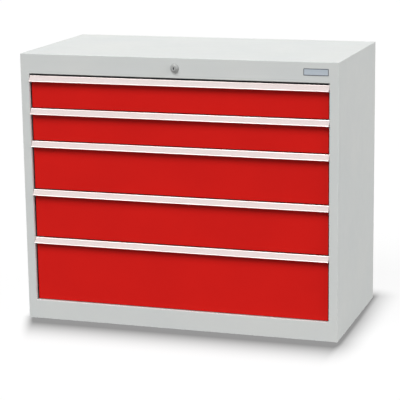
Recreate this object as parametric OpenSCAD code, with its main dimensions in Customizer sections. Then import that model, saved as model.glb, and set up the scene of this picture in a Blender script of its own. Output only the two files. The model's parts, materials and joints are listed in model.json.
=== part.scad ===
// Drawer cabinet of folded sheet steel: five lockable drawers on full-extension ball slides.
// Millimetres, +Z up, front towards -Y, standing on Z = 0.

/* [Carcass] */
// Width over the two side panels
carcass_w = 980; // [700:10:1400]
// Depth from the face of the stiles to the back edge of the side panels
carcass_d = 500; // [420:10:800]
// Thickness of the carcass sheet
sheet = 1.5; // [1:0.1:2]
// Inside radius of the carcass bends
bend_r = 1; // [0.5:0.1:3]
// Width of each front stile
stile_w = 27; // [24:1:50]
// Depth of the edge that each stile turns back beside the fronts
stile_return = 10; // [8:0.5:25]
// Depth of the edges that the fascia and the plinth turn back
rail_return = 20; // [8:1:25]
// Depth of the edge that the back panel turns in at the floor
back_flange = 26; // [15:1:40]
// Height of the plinth below the drawers
plinth_h = 58.5; // [40:0.5:120]
// Height of the fascia above the drawers
fascia_h = 60; // [48:1:90]
// Distance of the floor anchor holes from the sides
anchor_inset_x = 70; // [50:5:120]
// Distance of the floor anchor holes from front and back
anchor_inset_y = 60; // [50:5:120]
// Diameter of the floor anchor holes
anchor_d = 9; // [6:0.5:14]

/* [Drawers] */
// Pitch of the two shallow drawers
shallow_pitch = 100; // [90:5:150]
// Pitch of the two middle drawers
middle_pitch = 150; // [90:5:250]
// Pitch of the deep drawer
deep_pitch = 200; // [90:5:300]
// Height of the front opening beyond the sum of the pitches
opening_spare = 5; // [2:0.5:8]
// Gap above the top handle
head_gap = 6; // [3:0.5:8]
// Gap below each front
front_gap = 2; // [1.5:0.5:4]
// Gap beside each front
side_gap = 4; // [2:0.5:6]
// How far the fronts lie behind the stiles
front_recess = 9; // [7:0.5:14]
// Depth of the edges turned back round each front
front_flange = 18; // [10:1:25]
// Sheet thickness of the fronts
front_sheet = 1.2; // [0.8:0.1:1.5]
// Sheet thickness of the trays
tray_sheet = 1.2; // [0.8:0.1:1.5]
// Distance from the top of a handle down to the tray's rim
tray_head = 12; // [8:1:20]
// Distance from the next handle up to the tray's floor
tray_rise = 6; // [4:0.5:10]
// Space behind the trays for the locking gear
tray_back_gap = 44; // [42:1:60]

/* [Handles] */
// Height of the handle strip
handle_h = 17; // [15:0.5:26]
// How far the strip's top edge lies behind the stiles
handle_set_back = 5; // [3:0.5:6]
// How far the strip's lower edge stands in front of the stiles
handle_reach = 5.5; // [3:0.5:9]
// Wall of the handle extrusion
handle_wall = 2; // [1.5:0.1:2.5]
// How far the handle's web lies below the strip's top edge
web_drop = 4; // [2:0.5:6]
// Length of the leg that lies on the drawer front
handle_leg = 8; // [6:0.5:14]
// Gap between the handle's ends and the stiles
handle_end_gap = 1; // [0.5:0.5:5]
// Width of the beads that hold the label strip
label_bead = 2.2; // [1.5:0.1:4]
// Depth of the label channel
label_channel = 0.8; // [0.6:0.1:1]
// Thickness of the label strip
label_t = 0.6; // [0.3:0.1:0.6]
// Play of the label strip between the beads and at the ends
label_play = 0.3; // [0.1:0.1:0.6]
// Gap behind the label strip
label_fit = 0.05; // [0.02:0.01:0.1]

/* [Slides] */
// Space left behind the slides
slide_back_gap = 21; // [15:1:40]
// Space between the fronts' turned edges and the slides
slide_front_gap = 2; // [1:0.5:6]
// Height of a slide's centre above the tray's underside
slide_rise = 30; // [28:1:40]
// Wall of the runners
runner_wall = 1.5; // [1.2:0.1:2]
// Outside height of the runner on the drawer
drawer_runner_h = 22.2; // [18:0.2:24]
// Diameter of the balls
ball_d = 4; // [3:0.25:4.5]
// Gap between a ball and each track or pocket
ball_fit = 0.15; // [0.1:0.01:0.2]
// Sheet thickness of the ball cages
cage_sheet = 0.8; // [0.5:0.1:0.9]
// Gap between a cage and the runners beside it
cage_gap = 0.4; // [0.3:0.05:0.6]
// Track width beyond the ball's diameter
track_spare = 3.8; // [3.5:0.1:6]
// Step from the edge of one runner to the edge of the next
edge_step = 1; // [0.6:0.1:1.5]
// Gap between the turned-in lips and the next runner
lip_gap = 0.6; // [0.4:0.1:1]
// Balls in each row
balls_per_row = 6; // [3:1:7]
// Spacing of the balls
ball_pitch = 34; // [12:1:36]

/* [Slide pillars] */
// Width of the pillars
pillar_w = 40; // [30:1:60]
// Distance of the pillars from the ends of the slides
pillar_inset = 35; // [20:1:60]
// Width of a runner's hook
hook_w = 8; // [5:0.5:14]
// Height of a runner's hook
hook_h = 12; // [8:0.5:16]
// How far a hook reaches down behind the pillar
hook_drop = 4; // [2:0.5:6]
// Play of a hook in its slot
hook_play = 0.3; // [0.1:0.1:0.6]

/* [Lock] */
// How far the lock cylinder stands out of the fascia
lock_proud = 9; // [8.5:0.5:20]
// Diameter of the lock cylinder's head
lock_head_d = 16; // [14:0.5:22]
// Diameter of the rosette round the head
rosette_d = 27; // [25:0.5:32]
// How far the rosette's cone stands out of the fascia
rosette_t = 8; // [3:0.5:8]
// Thickness of the rosette's straight rim
rosette_rim = 1; // [0.5:0.1:2]
// Width of the ledge between the rosette's cone and the head
rosette_ledge = 0.5; // [0.3:0.1:1]
// Diameter of the lock body behind the fascia
lock_body_d = 18; // [16:0.5:20]
// Length of the lock body behind the fascia
lock_body_l = 28; // [20:1:40]
// Radial play of the lock body in the fascia and the nut
lock_body_fit = 0.15; // [0.1:0.05:0.3]
// Width across the flats of the lock nut
nut_flats = 24; // [22:0.5:28]
// Thickness of the lock nut
nut_t = 6; // [4:0.5:9]
// Diameter of the plug that the key turns
plug_d = 11; // [9:0.5:12]
// Radial play of turning parts
turning_fit = 0.06; // [0.04:0.01:0.1]
// End play of turning parts
end_play = 0.4; // [0.3:0.05:0.8]
// Thickness of the collar on the plug's back end
collar_t = 3; // [2:0.5:5]
// Width of the keyway
keyway_w = 3; // [1.5:0.1:3.5]
// Height of the keyway
keyway_h = 7.5; // [5:0.5:8]
// Depth of the keyway
keyway_depth = 18; // [8:1:24]
// Width of the plug's square tail
tail_w = 5; // [4:0.5:6]
// Length of the plug's tail
tail_l = 12; // [8:1:20]
// Play of the tail in the shaft's socket
tail_fit = 0.15; // [0.05:0.05:0.3]
// Diameter of the shaft's socket
socket_d = 14; // [12:0.5:18]
// Solid length behind the shaft's socket
socket_floor = 7; // [4:0.5:12]
// Diameter of the lock shaft
shaft_d = 8; // [6:0.5:10]
// Thickness of the shaft's bracket
bracket_t = 3; // [2:0.5:5]
// Width of the shaft's bracket
bracket_w = 34; // [24:1:50]
// Foot of the shaft's bracket
bracket_foot = 24; // [15:1:40]
// Thickness of the crank disc
crank_t = 4; // [3:0.5:6]
// Distance of the crank pin from the shaft's axis
crank_r = 8.5; // [8:0.1:9]
// Diameter of the crank pin
crank_pin_d = 4; // [3:0.5:5]
// Play of the crank pin in the locking bar's slot
crank_play = 0.45; // [0.4:0.05:0.6]

/* [Locking bar] */
// Width of the locking bar
bar_w = 36; // [34:1:60]
// Thickness of the locking bar
bar_t = 3; // [2:0.5:4]
// Metal above the crank pin's slot
bar_head = 6; // [4:0.5:7]
// Space between the crank disc and the locking bar
bar_space = 4; // [2:0.5:6]
// Width of the hooks on the locking bar
finger_w = 10; // [6:1:20]
// Thickness of the hooks' raised ends
finger_t = 3; // [2:0.5:4]
// Height of the hooks' arms
arm_h = 6; // [4:0.5:10]
// Width of the catch bent from the back of each tray
catch_w = 60; // [40:5:120]
// How far the catch reaches back
catch_reach = 14; // [12:0.5:16]
// How far the catch is turned down
catch_drop = 14; // [14:0.5:18]
// Gap between the hooks and the catches
catch_gap = 2; // [1.5:0.5:3]
// Height of the locking bar's guides
guide_h = 20; // [12:1:30]
// Wall of the guides
guide_wall = 6; // [4:0.5:8]
// Play of the locking bar in its guides
guide_play = 0.3; // [0.1:0.05:0.5]

/* [Badge and rivets] */
// Width of the badge plate
badge_w = 73.5; // [40:0.5:120]
// Height of the badge plate
badge_h = 20; // [10:0.5:30]
// Thickness of the badge plate
badge_t = 1; // [0.5:0.1:2]
// Distance of the badge's end from the stile
badge_inset = 2.5; // [0:0.5:20]
// Height of the badge's middle above the lock's axis
badge_rise = 1; // [-10:0.5:10]
// Shank diameter of the back panel's rivets
rivet_d = 4; // [3:0.2:5]
// Head diameter of the rivets
rivet_head_d = 8; // [6.5:0.5:10]
// Height of a rivet's heads
rivet_head_t = 1.2; // [0.8:0.1:2]
// Play of a rivet in its hole
rivet_fit = 0.1; // [0.05:0.05:0.2]
// Rivets in each row
rivets_per_row = 6; // [3:1:12]
// Distance of the end rivets from floor and top
rivet_end = 45; // [30:5:100]

/* [Hidden] */
$fn = 48;
// Extra length of cuts that pass right through
cut = 1;

// Front opening and drawer lines, counted from the top drawer down
pitches = [shallow_pitch, shallow_pitch, middle_pitch, middle_pitch, deep_pitch];
drawer_count = len(pitches);
last_drawer = drawer_count - 1;
drawers = [0:last_drawer];
function stack(n) = n == 0 ? 0 : pitches[n - 1] + stack(n - 1);
opening_top = plinth_h + stack(drawer_count) + opening_spare;
carcass_h = opening_top + fascia_h;
panel_top = carcass_h - sheet;
function line_top(i) = opening_top - head_gap - stack(i);
function line_foot(i) = i == last_drawer ? plinth_h : line_top(i + 1);

// The part's box is centred on the origin, with the lock in front and rivet heads behind
overall_d = lock_proud + carcass_d + rivet_head_t;
front_y = lock_proud - overall_d / 2;
back_y = front_y + carcass_d;
middle_y = (front_y + back_y) / 2;
back_inner_y = back_y - 2 * sheet;
opening_half = carcass_w / 2 - stile_w;
side_inner = carcass_w / 2 - sheet;
sheet_half = side_inner - bend_r;
base_top = 2 * sheet;

// Runners: depths are measured from the pillar towards the tray
track_h = ball_d + 2 * ball_fit;
outer_cage_at = runner_wall + cage_gap;
middle_at = outer_cage_at + cage_sheet + cage_gap;
inner_cage_at = middle_at + runner_wall + cage_gap;
drawer_runner_at = inner_cage_at + cage_sheet + cage_gap;
slide_t = drawer_runner_at + ball_d + track_spare;
middle_end = slide_t - edge_step;
outer_end = middle_end - edge_step;
drawer_runner_half = drawer_runner_h / 2;
middle_half = drawer_runner_half + track_h + runner_wall;
outer_half = middle_half + track_h + runner_wall;
lip_h = track_h - lip_gap;
outer_cage_end = outer_end - runner_wall - cage_gap;
inner_cage_end = middle_end - runner_wall - cage_gap;
outer_ball_z = middle_half + track_h / 2;
inner_ball_z = drawer_runner_half + track_h / 2;
outer_ball_at = (outer_cage_at + cage_sheet + outer_cage_end) / 2;
inner_ball_at = (inner_cage_at + cage_sheet + inner_cage_end) / 2;
cage_l = balls_per_row * ball_pitch;

// Fronts, trays and slides along the depth
front_face_y = front_y + front_recess;
front_half = opening_half - side_gap;
tray_front_y = front_face_y + front_sheet;
tray_back_y = back_y - tray_back_gap;
tray_half = opening_half - slide_t;
slide_front_y = front_face_y + front_flange + slide_front_gap;
slide_back_y = back_y - slide_back_gap;
slide_middle_y = (slide_front_y + slide_back_y) / 2;
front_pillar_y = slide_front_y + pillar_inset;
rear_pillar_y = slide_back_y - pillar_inset - pillar_w;
pillar_ys = [front_pillar_y, rear_pillar_y];
function tray_top(i) = line_top(i) - tray_head;
function tray_foot(i) = line_foot(i) + tray_rise;
function slide_z(i) = tray_foot(i) + slide_rise;

// Lock axis, crank and locking bar; the crank turns from 45 degrees below level to 45 above
lock_z = (opening_top + carcass_h) / 2;
crank_start = 45;
crank_pin_x = -crank_r * cos(crank_start);
crank_pin_z = lock_z - crank_r * sin(crank_start);
bar_lift = 2 * crank_r * sin(crank_start);
crank_d = 2 * crank_r + crank_pin_d + 2 * crank_play;
bar_y = back_inner_y - guide_wall - guide_play - bar_t;
crank_y = bar_y - bar_space - crank_t;
bracket_y = crank_y - end_play - bracket_t;
slot_half_h = crank_pin_d / 2 + crank_play;
bar_top = crank_pin_z + slot_half_h + bar_head;
finger_y = tray_back_y + (catch_reach - tray_sheet - finger_t) / 2;
function finger_top(i) = tray_top(i) - catch_drop - catch_gap;
function arm_top(i) = finger_top(i) - bar_lift;
guide_space = 2 * guide_h + arm_h;
guide_zs = [arm_top(0) + guide_space, arm_top(2) - guide_space, arm_top(last_drawer) - guide_space];
bar_foot = guide_zs[2] - guide_h;

parts_of_drawer = ["tray", "front", "handle", "label_strip", "runners", "middle_runners",
    "outer_ball_cages", "inner_ball_cages"];
function drawer_node(i, part) = str("drawer_", i + 1, "_", part);

// A block between two places on each axis
module block(x, y, z) {
    translate([x[0], y[0], z[0]])
        cube([x[1] - x[0], y[1] - y[0], z[1] - z[0]]);
}

// A round bar along Y on the lock's axis
module lock_bar(d, y) {
    translate([0, y[1], lock_z])
        rotate([90, 0, 0])
            cylinder(d = d, h = y[1] - y[0]);
}

// A piece of the right side, drawn there or mirrored to the left
module on_side(side) {
    mirror([side == "left" ? 1 : 0, 0, 0])
        children();
}

module on_both_sides() {
    on_side("left") children();
    on_side("right") children();
}

// A profile drawn in (Y, Z) and drawn out along X about the middle
module along_x(length) {
    translate([-length / 2, 0, 0])
        rotate([90, 0, 90])
            linear_extrude(length)
                children();
}

// The carcass outline seen from above, drawn in by inset
module footprint(inset) {
    half = carcass_w / 2 - inset;
    r = bend_r + sheet - inset;
    y = [front_y + inset, back_y - inset];
    translate([-half, y[0] + r])
        square([2 * half, y[1] - y[0] - 2 * r]);
    translate([r - half, y[0]])
        square([2 * (half - r), y[1] - y[0]]);
    for (corner_x = [r - half, half - r], corner_y = [y[0] + r, y[1] - r])
        translate([corner_x, corner_y])
            circle(r);
}

// Side panel with its stile, back edge and turned-in floor and top edges
module side_panel(side) {
    color("gainsboro")
        difference() {
            on_side(side) {
                linear_extrude(panel_top)
                    intersection() {
                        difference() {
                            footprint(0);
                            footprint(sheet);
                        }
                        translate([opening_half, front_y])
                            square([stile_w, carcass_d]);
                    }
                block([opening_half, opening_half + sheet], [front_y, front_y + stile_return],
                    [plinth_h, opening_top]);
                for (z = [0, panel_top - sheet])
                    block([opening_half, side_inner], [front_y + sheet, back_inner_y], [z, z + sheet]);
            }
            rivet_holes();
        }
}

// Places of the back panel's rivets
module at_rivets() {
    step = (panel_top - 2 * rivet_end) / (rivets_per_row - 1);
    for (x = [-1, 1] * (carcass_w - stile_w) / 2, n = [0:rivets_per_row - 1])
        translate([x, back_y, rivet_end + n * step])
            rotate([90, 0, 0])
                children();
}

module rivet_holes() {
    at_rivets()
        translate([0, 0, -cut])
            cylinder(d = rivet_d + 2 * rivet_fit, h = 2 * sheet + 2 * cut);
}

module back_panel_rivets() {
    color("silver")
        at_rivets() {
            cylinder(d = rivet_d, h = 2 * sheet);
            translate([0, 0, -rivet_head_t])
                cylinder(d = rivet_head_d, h = rivet_head_t);
            translate([0, 0, 2 * sheet])
                cylinder(d = rivet_head_d, h = rivet_head_t);
        }
}

module back_panel() {
    color("gainsboro")
        difference() {
            union() {
                block([-sheet_half, sheet_half], [back_inner_y, back_y - sheet], [0, panel_top]);
                block([-opening_half, opening_half], [back_inner_y - back_flange, back_inner_y],
                    [0, sheet]);
            }
            rivet_holes();
        }
}

module top_panel() {
    color("whitesmoke")
        translate([0, 0, panel_top])
            linear_extrude(sheet)
                footprint(0);
}

// Floor sheet with its anchor holes
module base_panel() {
    color("gainsboro")
        difference() {
            block([-sheet_half, sheet_half], [front_y + sheet, back_inner_y], [sheet, base_top]);
            for (x = [-1, 1] * (carcass_w / 2 - anchor_inset_x),
                y = [front_y + anchor_inset_y, back_y - anchor_inset_y])
                translate([x, y, sheet - cut])
                    cylinder(d = anchor_d, h = sheet + 2 * cut);
        }
}

// Folded rail between the stiles with two edges turned back
module front_rail(z) {
    difference() {
        block([-opening_half, opening_half], [front_y, front_y + rail_return], z);
        block([-opening_half - cut, opening_half + cut],
            [front_y + sheet, front_y + rail_return + cut], [z[0] + sheet, z[1] - sheet]);
    }
}

module top_fascia() {
    color("gainsboro")
        difference() {
            front_rail([opening_top, panel_top]);
            lock_bar(lock_body_d + 2 * lock_body_fit, [front_y - cut, front_y + sheet + cut]);
        }
}

module front_plinth() {
    color("gainsboro")
        front_rail([0, plinth_h]);
}

module badge_plate() {
    right = opening_half - badge_inset;
    middle = lock_z + badge_rise;
    color("slategray")
        block([right - badge_w, right], [front_y - badge_t, front_y],
            [middle - badge_h / 2, middle + badge_h / 2]);
}

// Upright channels with a slot for every runner hook
module pillars(side) {
    color("lightgray")
        on_side(side)
            for (y = pillar_ys)
                difference() {
                    block([opening_half, side_inner], [y, y + pillar_w], [base_top, panel_top - sheet]);
                    block([opening_half + sheet, side_inner + cut], [y + sheet, y + pillar_w - sheet],
                        [base_top - cut, panel_top]);
                    for (i = drawers)
                        runner_hook_slot(y + pillar_w / 2, slide_z(i));
                }
}

module runner_hook_slot(y, z) {
    half = hook_w / 2 + hook_play;
    block([opening_half - cut, opening_half + sheet + cut], [y - half, y + half],
        [z - hook_h / 2 + hook_drop, z + hook_h / 2 + hook_drop + hook_play]);
}

// Hook of a cabinet runner, hung over the lower edge of its slot
module runner_hook(y, z) {
    tip_at = opening_half + sheet + hook_play;
    across = [y - hook_w / 2, y + hook_w / 2];
    block([opening_half, tip_at], across, [z - hook_h / 2 + hook_drop, z + hook_h / 2]);
    block([tip_at, tip_at + runner_wall], across, [z - hook_h / 2, z + hook_h / 2]);
}

// Channel section in (depth, Z): its web lies at web_at and its edges end at open_at
module channel(web_at, open_at, half_h, wall) {
    way = open_at > web_at ? 1 : -1;
    difference() {
        depth_square(web_at, open_at, half_h);
        depth_square(web_at + way * wall, open_at + way * cut, half_h - wall);
    }
}

module depth_square(a, b, half_h) {
    translate([min(a, b), -half_h])
        square([abs(b - a), 2 * half_h]);
}

// Turned-in lips that keep the balls between a runner's edges
module lips(end_at, half_h) {
    for (z = [half_h - runner_wall - lip_h, runner_wall - half_h])
        translate([end_at - runner_wall, z])
            square([runner_wall, lip_h]);
}

// A slide section drawn out along Y, with depth running from the pillar to the tray
module slide_section(i, y) {
    translate([opening_half, y[1], slide_z(i)])
        mirror([1, 0, 0])
            rotate([90, 0, 0])
                linear_extrude(y[1] - y[0])
                    children();
}

module cabinet_runners(side) {
    color("silver")
        on_side(side)
            for (i = drawers) {
                slide_section(i, [slide_front_y, slide_back_y]) {
                    channel(0, outer_end, outer_half, runner_wall);
                    lips(outer_end, outer_half);
                }
                for (y = pillar_ys)
                    runner_hook(y + pillar_w / 2, slide_z(i));
            }
}

module drawer_middle_runners(i) {
    color("silver")
        on_both_sides()
            slide_section(i, [slide_front_y, slide_back_y]) {
                channel(middle_at, middle_end, middle_half, runner_wall);
                lips(middle_end, middle_half);
            }
}

module drawer_runners(i) {
    color("silver")
        on_both_sides()
            slide_section(i, [slide_front_y, tray_back_y])
                channel(slide_t, drawer_runner_at, drawer_runner_half, runner_wall);
}

// Ball cages of one kind on both sides, each with its two rows of balls
module ball_cages(i, web_at, end_at, ball_at, ball_z) {
    on_both_sides() {
        difference() {
            slide_section(i, [slide_middle_y - cage_l / 2, slide_middle_y + cage_l / 2])
                channel(web_at, end_at, ball_z + cage_sheet / 2, cage_sheet);
            at_balls(i, ball_at)
                cylinder(d = ball_d + 2 * ball_fit, h = 2 * (ball_z + ball_d), center = true);
        }
        at_balls(i, ball_at)
            for (z = [-ball_z, ball_z])
                translate([0, 0, z])
                    sphere(d = ball_d);
    }
}

module at_balls(i, ball_at) {
    for (n = [0:balls_per_row - 1])
        translate([opening_half - ball_at, slide_middle_y + (n + 1 / 2) * ball_pitch - cage_l / 2,
            slide_z(i)])
            children();
}

module drawer_outer_ball_cages(i) {
    color("darkgray")
        ball_cages(i, outer_cage_at, outer_cage_end, outer_ball_at, outer_ball_z);
}

module drawer_inner_ball_cages(i) {
    color("darkgray")
        ball_cages(i, inner_cage_at, inner_cage_end, inner_ball_at, inner_ball_z);
}

// Open sheet box with the lock's catch bent from its back
module drawer_tray(i) {
    foot = tray_foot(i);
    rim = tray_top(i);
    color("lightgray") {
        difference() {
            block([-tray_half, tray_half], [tray_front_y, tray_back_y], [foot, rim]);
            block([tray_sheet - tray_half, tray_half - tray_sheet],
                [tray_front_y + tray_sheet, tray_back_y - tray_sheet], [foot + tray_sheet, rim + cut]);
        }
        block([-catch_w / 2, catch_w / 2], [tray_back_y - tray_sheet, tray_back_y + catch_reach],
            [rim - tray_sheet, rim]);
        block([-catch_w / 2, catch_w / 2],
            [tray_back_y + catch_reach - tray_sheet, tray_back_y + catch_reach],
            [rim - catch_drop, rim]);
    }
}

// Red pan with its edges turned back
module drawer_front(i) {
    z = [line_foot(i) + front_gap, line_top(i) - web_drop - handle_wall];
    color("firebrick")
        difference() {
            block([-front_half, front_half], [front_face_y, front_face_y + front_flange], z);
            block([front_sheet - front_half, front_half - front_sheet],
                [front_face_y + front_sheet, front_face_y + front_flange + cut],
                [z[0] + front_sheet, z[1] - front_sheet]);
        }
}

// The handle's sloping face in (Y, Z), measured from the stile's face and the drawer's top line
face_run = [-handle_set_back - handle_reach, -handle_h];
face_l = norm(face_run);
face_down = face_run / face_l;
face_out = [face_down[1], -face_down[0]];
// A place on the face: so far down it, and so far behind it
function on_face(down, behind) = [handle_set_back, 0] + down * face_down - behind * face_out;
handle_thick = handle_wall + label_channel / 2;
// The web starts in the middle of the sloping wall
web_middle = -web_drop - handle_wall / 2;
web_y = handle_set_back + (handle_thick / 2 * face_l - web_middle * face_run[0]) / handle_h;

module drawer_handle(i) {
    leg_front = front_recess - handle_wall;
    color("whitesmoke")
        translate([0, front_y, line_top(i)])
            along_x(2 * (opening_half - handle_end_gap)) {
                polygon([
                    on_face(0, 0),
                    on_face(label_bead, 0),
                    on_face(label_bead, label_channel),
                    on_face(face_l - label_bead, label_channel),
                    on_face(face_l - label_bead, 0),
                    on_face(face_l, 0),
                    on_face(face_l, handle_thick),
                    on_face(0, handle_thick)]);
                translate([web_y, -web_drop - handle_wall])
                    square([front_recess + front_flange - web_y, handle_wall]);
                translate([leg_front, -web_drop - handle_wall - handle_leg])
                    square([handle_wall, handle_wall + handle_leg]);
            }
}

module drawer_label_strip(i) {
    down = [label_bead + label_play, face_l - label_bead - label_play];
    behind = label_channel - label_fit;
    color("white")
        translate([0, front_y, line_top(i)])
            along_x(2 * (opening_half - handle_end_gap - label_play))
                polygon([
                    on_face(down[0], behind),
                    on_face(down[0], behind - label_t),
                    on_face(down[1], behind - label_t),
                    on_face(down[1], behind)]);
}

// Fixed lock cylinder with its conical rosette, bored for the plug
module lock_cylinder() {
    color("silver")
        difference() {
            union() {
                lock_bar(lock_head_d, [front_y - lock_proud, front_y]);
                lock_bar(rosette_d, [front_y - rosette_rim, front_y]);
                translate([0, front_y - rosette_rim, lock_z])
                    rotate([90, 0, 0])
                        cylinder(d1 = rosette_d, d2 = lock_head_d + 2 * rosette_ledge,
                            h = rosette_t - rosette_rim);
                lock_bar(lock_body_d, [front_y, front_y + lock_body_l]);
            }
            lock_bar(plug_d + 2 * turning_fit,
                [front_y - lock_proud - cut, front_y + lock_body_l + cut]);
        }
}

module lock_nut() {
    color("silver")
        difference() {
            translate([0, front_y + sheet + nut_t, lock_z])
                rotate([90, 0, 0])
                    cylinder(d = nut_flats / cos(30), h = nut_t, $fn = 6);
            lock_bar(lock_body_d + 2 * lock_body_fit, [front_y, front_y + sheet + nut_t + cut]);
        }
}

// Turning plug: collar behind the cylinder and a square tail
plug_back_y = front_y + lock_body_l + end_play;
tail_y = plug_back_y + collar_t;

module lock_plug() {
    color("gray")
        difference() {
            union() {
                lock_bar(plug_d, [front_y - lock_proud, plug_back_y]);
                lock_bar(socket_d, [plug_back_y, tail_y]);
                block([-tail_w / 2, tail_w / 2], [tail_y, tail_y + tail_l],
                    [lock_z - tail_w / 2, lock_z + tail_w / 2]);
            }
            block([-keyway_w / 2, keyway_w / 2],
                [front_y - lock_proud - cut, front_y - lock_proud + keyway_depth],
                [lock_z - keyway_h / 2, lock_z + keyway_h / 2]);
        }
}

// Shaft from the plug's tail to the crank disc and its pin
module lock_shaft() {
    socket_half = tail_w / 2 + tail_fit;
    socket_end = tail_y + tail_l + tail_fit;
    shaft_y = socket_end + socket_floor;
    color("silver") {
        difference() {
            lock_bar(socket_d, [tail_y, shaft_y]);
            block([-socket_half, socket_half], [tail_y - cut, socket_end],
                [lock_z - socket_half, lock_z + socket_half]);
        }
        lock_bar(shaft_d, [shaft_y, crank_y]);
        lock_bar(crank_d, [crank_y, crank_y + crank_t]);
        translate([crank_pin_x, 0, crank_pin_z - lock_z])
            lock_bar(crank_pin_d, [crank_y + crank_t, bar_y + 2 * bar_t]);
    }
}

// Angle bracket under the top panel that carries the shaft's back end
module shaft_bracket() {
    half = bracket_w / 2;
    color("lightgray")
        difference() {
            union() {
                block([-half, half], [bracket_y, bracket_y + bracket_t],
                    [lock_z - shaft_d - bracket_t, panel_top]);
                block([-half, half], [bracket_y - bracket_foot, bracket_y + bracket_t],
                    [panel_top - bracket_t, panel_top]);
            }
            lock_bar(shaft_d + 2 * turning_fit, [bracket_y - cut, bracket_y + bracket_t + cut]);
        }
}

// Flat bar with a slot for the crank pin and a hook for each drawer
module locking_bar() {
    color("lightgray") {
        difference() {
            block([-bar_w / 2, bar_w / 2], [bar_y, bar_y + bar_t], [bar_foot, bar_top]);
            block([-crank_r - slot_half_h, crank_pin_x + slot_half_h],
                [bar_y - cut, bar_y + bar_t + cut],
                [crank_pin_z - slot_half_h, crank_pin_z + slot_half_h]);
        }
        for (i = drawers) {
            block([-finger_w / 2, finger_w / 2], [finger_y, bar_y], [arm_top(i) - arm_h, arm_top(i)]);
            block([-finger_w / 2, finger_w / 2], [finger_y, finger_y + finger_t],
                [arm_top(i) - arm_h, finger_top(i)]);
        }
    }
}

module bar_guides() {
    half = bar_w / 2 + guide_play;
    slot_y = [bar_y - guide_play, bar_y + bar_t + guide_play];
    color("dimgray")
        for (z = guide_zs)
            difference() {
                block([-half - guide_wall, half + guide_wall], [slot_y[0] - bar_t, back_inner_y],
                    [z - guide_h / 2, z + guide_h / 2]);
                block([-half, half], slot_y, [z - guide_h, z + guide_h]);
            }
}

module drawer_part(i, part) {
    if (part == "tray") drawer_tray(i);
    if (part == "front") drawer_front(i);
    if (part == "handle") drawer_handle(i);
    if (part == "label_strip") drawer_label_strip(i);
    if (part == "runners") drawer_runners(i);
    if (part == "middle_runners") drawer_middle_runners(i);
    if (part == "outer_ball_cages") drawer_outer_ball_cages(i);
    if (part == "inner_ball_cages") drawer_inner_ball_cages(i);
}

side_panel("left");  // left_side_panel
side_panel("right");  // right_side_panel
back_panel();
top_panel();
base_panel();
top_fascia();
front_plinth();
pillars("left");  // left_pillars
pillars("right");  // right_pillars
cabinet_runners("left");  // left_cabinet_runners
cabinet_runners("right");  // right_cabinet_runners
lock_cylinder();
lock_nut();
lock_plug();
lock_shaft();
shaft_bracket();
locking_bar();
bar_guides();
badge_plate();
back_panel_rivets();
for (i = drawers, part = parts_of_drawer)
    drawer_part(i, part);
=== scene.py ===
import json
import math

import bmesh
import bpy
from mathutils import Matrix, Vector


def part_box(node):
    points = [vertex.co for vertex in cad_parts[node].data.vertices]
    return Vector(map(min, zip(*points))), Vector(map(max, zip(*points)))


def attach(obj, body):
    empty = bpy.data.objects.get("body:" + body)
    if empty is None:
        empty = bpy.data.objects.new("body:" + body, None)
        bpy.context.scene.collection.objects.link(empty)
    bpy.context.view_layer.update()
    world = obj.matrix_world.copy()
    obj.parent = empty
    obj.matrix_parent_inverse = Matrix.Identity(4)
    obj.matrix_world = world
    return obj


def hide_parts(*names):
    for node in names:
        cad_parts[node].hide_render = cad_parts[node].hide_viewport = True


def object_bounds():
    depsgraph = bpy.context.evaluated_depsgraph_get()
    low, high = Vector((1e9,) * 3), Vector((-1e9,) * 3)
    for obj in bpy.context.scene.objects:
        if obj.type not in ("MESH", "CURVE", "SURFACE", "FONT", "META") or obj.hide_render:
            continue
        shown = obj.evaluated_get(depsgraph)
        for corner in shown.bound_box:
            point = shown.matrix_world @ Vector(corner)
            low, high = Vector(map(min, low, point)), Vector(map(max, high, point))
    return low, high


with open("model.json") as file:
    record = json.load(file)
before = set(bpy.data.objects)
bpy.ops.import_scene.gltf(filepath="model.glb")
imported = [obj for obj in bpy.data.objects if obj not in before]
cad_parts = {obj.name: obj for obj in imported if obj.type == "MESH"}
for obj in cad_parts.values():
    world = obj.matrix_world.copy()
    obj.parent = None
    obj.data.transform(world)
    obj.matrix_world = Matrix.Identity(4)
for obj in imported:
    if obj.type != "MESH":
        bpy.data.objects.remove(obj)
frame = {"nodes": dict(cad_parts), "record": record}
cadBox = [list(corner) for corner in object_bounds()]
mm = 0.001
drawers = range(1, 6)
scene = bpy.context.scene
# Limits for merging points and finding edges, and angles in degrees for flat, rounded and smooth
limits = {"merge": 0.002 * mm, "sliver": 0.001 * mm, "match": 0.02 * mm, "edge": 0.1 * mm,
          "longEdge": 100 * mm, "straight": 0.999, "flat": 0.3, "corner": 40, "fold": 32}


# Colours are written as they show on screen, 0 to 255, and turned linear here.
def colour(red, green, blue):
    def linear(value):
        value /= 255
        return value / 12.92 if value <= 0.04045 else ((value + 0.055) / 1.055) ** 2.4

    return (linear(red), linear(green), linear(blue), 1.0)


def addNode(tree, kind, **settings):
    node = tree.nodes.new(kind)
    for key, value in settings.items():
        setattr(node, key, value)
    return node


def newFinish(name):
    material = bpy.data.materials.new(name)
    material.use_nodes = True
    tree = material.node_tree
    return material, tree, tree.nodes["Principled BSDF"]


# Noise in the part's own frame; stretch squeezes the grain along an axis
def grain(tree, scale, detail=2.0, stretch=(1, 1, 1)):
    place = addNode(tree, "ShaderNodeTexCoord")
    mapping = addNode(tree, "ShaderNodeMapping")
    mapping.inputs["Scale"].default_value = stretch
    texture = addNode(tree, "ShaderNodeTexNoise")
    texture.inputs["Scale"].default_value = scale
    texture.inputs["Detail"].default_value = detail
    tree.links.new(place.outputs["Object"], mapping.inputs["Vector"])
    tree.links.new(mapping.outputs["Vector"], texture.inputs["Vector"])
    return texture.outputs["Fac"]


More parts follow.
